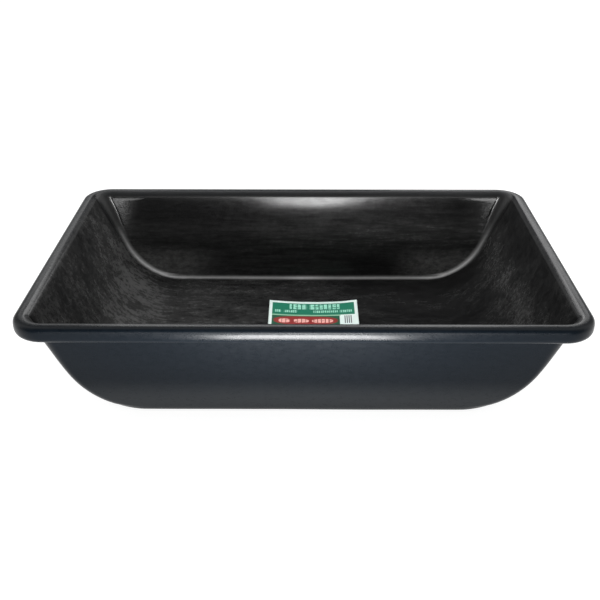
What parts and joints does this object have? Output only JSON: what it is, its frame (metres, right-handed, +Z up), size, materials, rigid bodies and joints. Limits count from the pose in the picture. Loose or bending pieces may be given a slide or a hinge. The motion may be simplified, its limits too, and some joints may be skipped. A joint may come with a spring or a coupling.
{
  "type": "mortar mixing tub",
  "caption": "Shallow rectangular plastic tub with swept-up ends, leaning walls and a rolled rim, for mixing mortar, with a product label on its floor.",
  "frame": {"origin": "on the ground, under the middle of the tub's floor, which is the centre of the rim in plan", "axes": "+Z up out of the open mouth, +X along the tub towards one swept-up end, +Y across it towards a long wall"},
  "size_m": [0.9144, 0.6096, 0.189],
  "materials": {
    "polyethylene": "satin",
    "printed_label": "gloss"
  },
  "bodies": {
    "root": {"tub_shell": "polyethylene", "product_label": "printed_label"}
  },
  "joints": []
}
